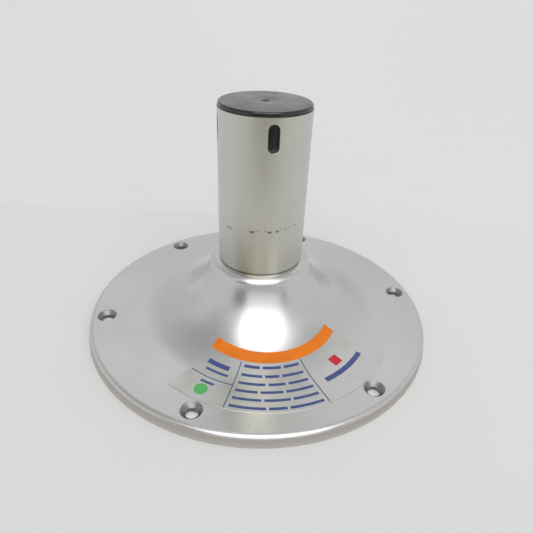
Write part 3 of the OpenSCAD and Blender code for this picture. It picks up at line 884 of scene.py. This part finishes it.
addPiece("baseCasting", markRegions(meshFromBlocks("baseCasting", castingBlocks() + ribBlocks(), 32)),
         makeCastMetal(), "base_casting")
addPiece("postTube", meshFromBlocks("postTube", postBlocks(), 32), makePostMetal(), "post_tube")
capGrid = revolve(capProfile(), topCap["columns"])
addPiece("topCap", meshFromBlocks("topCap", [(capGrid, None)], 32), makeCapPlastic(), "top_cap")
film, ink = decal["film"], decal["film"] + decal["ink"]
addPiece("decalFilm", meshFromBlocks("decalFilm", ringPatch(decal["inside"], decal["outside"], -decal["half"],
         decal["half"], 0.01, film), 40), makeFilm(), "decal_film")
addPiece("decalBand", meshFromBlocks("decalBand", ringPatch(decal["inside"], bandOut, -decal["half"],
         decal["half"], film, ink), 40), makeInk("orange ink", (0.80, 0.20, 0.004), (0.70, 0.155, 0.006)),
         "decal_band")
addPiece("decalPrint", meshFromBlocks("decalPrint", printBlocks(film, ink), 40),
         makeInk("blue ink", (0.045, 0.075, 0.24), (0.09, 0.12, 0.28)), "decal_print")
addPiece("decalSpot", meshFromBlocks("decalSpot", discPatch(crossRuleRadius + 10.5, 12.4 - decal["half"],
         decal["spotRadius"], film, ink), 40), makeInk("green ink", (0.08, 0.44, 0.11), (0.12, 0.48, 0.15)),
         "decal_spot")
addPiece("decalSquare", meshFromBlocks("decalSquare", boxPatch(crossRuleRadius - 6.2,
         squareAt, decal["squareSide"], decal["squareSide"], film, ink), 40),
         makeInk("red ink", (0.55, 0.016, 0.032), (0.60, 0.04, 0.05)), "decal_square")
print("pieces placed")


# Camera

view = {
    "place": (-56.35, -289.9, 226.0), "heading": 78.03, "pitch": 31.86, "roll": 2.521, "lens": 31.39,
}


def addCamera():
    heading, pitch, roll = (math.radians(view[key]) for key in ("heading", "pitch", "roll"))
    ahead = np.array([math.cos(heading) * math.cos(pitch), math.sin(heading) * math.cos(pitch), -math.sin(pitch)])
    right = np.array([math.sin(heading), -math.cos(heading), 0.0])
    up = np.cross(right, ahead)
    rolledRight = right * math.cos(roll) + up * math.sin(roll)
    rolledUp = up * math.cos(roll) - right * math.sin(roll)
    data = bpy.data.cameras.new("photoView")
    data.lens, data.sensor_width = view["lens"], 36.0
    data.clip_start, data.clip_end = 0.01, 80.0
    camera = bpy.data.objects.new("photoView", data)
    bpy.context.scene.collection.objects.link(camera)
    matrix = Matrix.Identity(4)
    for column, axis in enumerate((rolledRight, rolledUp, -ahead)):
        for row in range(3):
            matrix[row][column] = axis[row]
    matrix.translation = [value * mm for value in view["place"]]
    camera.matrix_world = matrix
    bpy.context.scene.camera = camera


addCamera()


# Floor, room and light

room = {
    "floorSize": 60.0, "floorColour": (0.765, 0.765, 0.755), "wallColour": (0.775, 0.785, 0.80),
    "holeGlow": 0.36, "creaseStart": (-0.253, 0.236), "creaseEnd": (0.320, 0.105),
    "lowLevel": 0.69, "wallLevel": 0.76, "ceilingLevel": 0.57, "frontLevel": 0.20, "glowLevel": 0.98,
    "panelLevel": 2.2, "panelHeading": 268.5, "panelHalfWidth": 34.0, "panelSpread": 0.45,
    "panelLow": 26.0, "panelHigh": 79.0,
    "deskColour": (0.20, 0.19, 0.15), "deskPlace": (-0.10, -0.95), "deskNear": 0.70, "deskFar": 0.45,
    # Patches of the walls and ceiling: heading, rise, inner and outer reach in degrees, level
    "patches": (
        (142, 55, 12, 30, 0.50), (125, 12, 14, 30, 0.62), (60, 30, 6, 14, 0.66), (60, 44, 5, 12, 0.84),
        (62, 16, 7, 16, 0.58), (88, 74, 4, 14, 0.80), (88, 30, 4, 10, 0.62), (99, 38, 4, 9, 0.78),
        (84, 51, 4, 11, 0.60), (76, 52, 2, 6, 0.48), (96, 45, 4, 9, 0.88), (111, 56, 3, 9, 0.50),
        (188, 38, 9, 20, 0.56), (175, 60, 13, 28, 0.42), (0, 53, 9, 20, 0.50), (78, 13, 8, 15, 0.90),
    ),
}


def addFloor():
    half = room["floorSize"] / 2
    mesh = bpy.data.meshes.new("floor")
    mesh.from_pydata([(-half, -half, 0), (half, -half, 0), (half, half, 0), (-half, half, 0)], [], [(0, 1, 2, 3)])
    floor = bpy.data.objects.new("floor", mesh)
    bpy.context.scene.collection.objects.link(floor)
    material, wire, shader, place = newMaterial("pale floor")
    mesh.materials.append(material)
    # Beyond the crease line the floor takes the tone of the paper behind it
    start, end = np.array(room["creaseStart"]), np.array(room["creaseEnd"])
    along = (end - start) / np.linalg.norm(end - start)
    split = wire.node("ShaderNodeSeparateXYZ")
    wire.join(place, split.inputs[0])
    side = wire.math("ADD", wire.math("MULTIPLY", split.outputs[0], -along[1]),
                     wire.math("MULTIPLY", split.outputs[1], along[0]))
    offset = float(-start[0] * along[1] + start[1] * along[0])
    behind = wire.ramp(side, offset - 0.0008, offset + 0.0008)
    tone = wire.mix(behind, rgb(*room["floorColour"]), rgb(*room["wallColour"]))
    blotch = wire.ramp(wire.noise(place, 14.0, 3.0, 0.55), 0.35, 0.75, 0.0, 0.25)
    tone = wire.mix(blotch, tone, rgb(0.74, 0.74, 0.72))
    # The floor is painted lighter towards +x: a painted gradient of light
    tone = wire.mix(wire.ramp(split.outputs[0], -0.05, 0.35, 0.0, 0.7), tone, rgb(0.80, 0.80, 0.795))
    # In the metal the floor far in front of the object, out of the picture, is a dark desk
    x = wire.math("SUBTRACT", split.outputs[0], room["deskPlace"][0])
    y = wire.math("SUBTRACT", split.outputs[1], room["deskPlace"][1])
    reach = wire.math("SQRT", wire.math("ADD", wire.math("MULTIPLY", x, x), wire.math("MULTIPLY", y, y)))
    desk = wire.ramp(reach, room["deskFar"], room["deskNear"], 1.0, 0.0)
    glossyRay = wire.node("ShaderNodeLightPath").outputs["Is Glossy Ray"]
    tone = wire.mix(wire.math("MULTIPLY", desk, glossyRay), tone, rgb(*room["deskColour"]))
    wire.join(tone, shader.inputs["Base Color"])
    # Under the flange the table is lit a little, so that it shows bright through the screw holes
    ring = wire.math("SQRT", wire.math("ADD", wire.math("MULTIPLY", split.outputs[0], split.outputs[0]),
                                       wire.math("MULTIPLY", split.outputs[1], split.outputs[1])))
    ring = wire.math("ABSOLUTE", wire.math("SUBTRACT", ring, (bell["rimRadius"] - castBase["holeEdge"]) * mm))
    wire.join(wire.ramp(ring, 0.0045, 0.0065, room["holeGlow"], 0.0), shader.inputs["Emission Strength"])
    shader.inputs["Emission Color"].default_value = rgb(1.0, 0.985, 0.96)
    shader.inputs["Roughness"].default_value = 0.6
    shader.inputs["Specular IOR Level"].default_value = 0.2


def addWorld():
    # A pale room: an even level, a darker ceiling, and a soft panel high in front
    world = bpy.data.worlds.new("studio")
    bpy.context.scene.world = world
    world.use_nodes = True
    tree = world.node_tree
    tree.nodes.clear()
    wire = Wiring(tree)
    split = wire.node("ShaderNodeSeparateXYZ")
    wire.join(wire.node("ShaderNodeTexCoord").outputs["Generated"], split.inputs[0])
    x, y, z = split.outputs
    rise = wire.math("MULTIPLY", wire.math("ARCSINE", z), 180 / math.pi)
    heading = math.radians(room["panelHeading"])
    ahead = wire.math("ADD", wire.math("MULTIPLY", x, math.cos(heading)), wire.math("MULTIPLY", y, math.sin(heading)))
    aside = wire.math("SUBTRACT", wire.math("MULTIPLY", y, math.cos(heading)), wire.math("MULTIPLY", x, math.sin(heading)))
    signed = wire.math("MULTIPLY", wire.math("ARCTAN2", aside, ahead), 180 / math.pi)
    turn = wire.math("ABSOLUTE", signed)

    def grey(level):
        return rgb(level, level, level)

    walls = wire.ramp(rise, 28.0, 46.0, room["lowLevel"], room["wallLevel"])
    level = wire.mix(wire.ramp(rise, 50.0, 60.0), walls, grey(room["ceilingLevel"]))
    for patchHeading, patchRise, inner, outer, value in room["patches"]:
        a, b = math.radians(patchHeading), math.radians(patchRise)
        near = wire.math("MULTIPLY", z, math.sin(b))
        near = wire.math("MULTIPLY_ADD", x, math.cos(a) * math.cos(b), near)
        near = wire.math("MULTIPLY_ADD", y, math.sin(a) * math.cos(b), near)
        share = wire.ramp(near, math.cos(math.radians(outer)), math.cos(math.radians(inner)))
        level = wire.mix(share, level, grey(value))
    # Below the panel the front is dark, with a glow in the middle
    lowTurn = wire.math("ABSOLUTE", wire.math("ADD", signed, 7.0))
    low = wire.math("MULTIPLY", wire.ramp(lowTurn, 44.0, 56.0, 1.0, 0.0), wire.ramp(rise, 18.0, 27.0, 1.0, 0.0))
    level = wire.mix(low, level, grey(room["frontLevel"]))
    glow = wire.math("MULTIPLY", wire.ramp(turn, 30.0, 37.0, 1.0, 0.0), wire.ramp(rise, -3.0, 10.0))
    level = wire.mix(glow, level, grey(room["glowLevel"]))
    halfWidth = wire.math("MULTIPLY_ADD", wire.math("SUBTRACT", rise, room["panelLow"]),
                          room["panelSpread"], room["panelHalfWidth"])
    inFront = wire.ramp(wire.math("SUBTRACT", turn, halfWidth), -3.0, 3.0, 1.0, 0.0)
    panel = wire.math("MULTIPLY", wire.ramp(rise, room["panelLow"] - 7, room["panelLow"] + 8),
                      wire.ramp(rise, room["panelHigh"] - 2, room["panelHigh"] + 2, 1.0, 0.0))
    level = wire.mix(wire.math("MULTIPLY", panel, inFront), level, grey(room["panelLevel"]))
    cameraRay = wire.node("ShaderNodeLightPath").outputs["Is Camera Ray"]
    level = wire.mix(cameraRay, level, rgb(0.76, 0.77, 0.785))
    background = wire.node("ShaderNodeBackground")
    wire.join(level, background.inputs["Color"])
    output = wire.node("ShaderNodeOutputWorld")
    wire.join(background.outputs[0], output.inputs["Surface"])


addFloor()
addWorld()
bpy.context.scene.view_settings.view_transform = "Standard"
print("camera, floor and light placed")
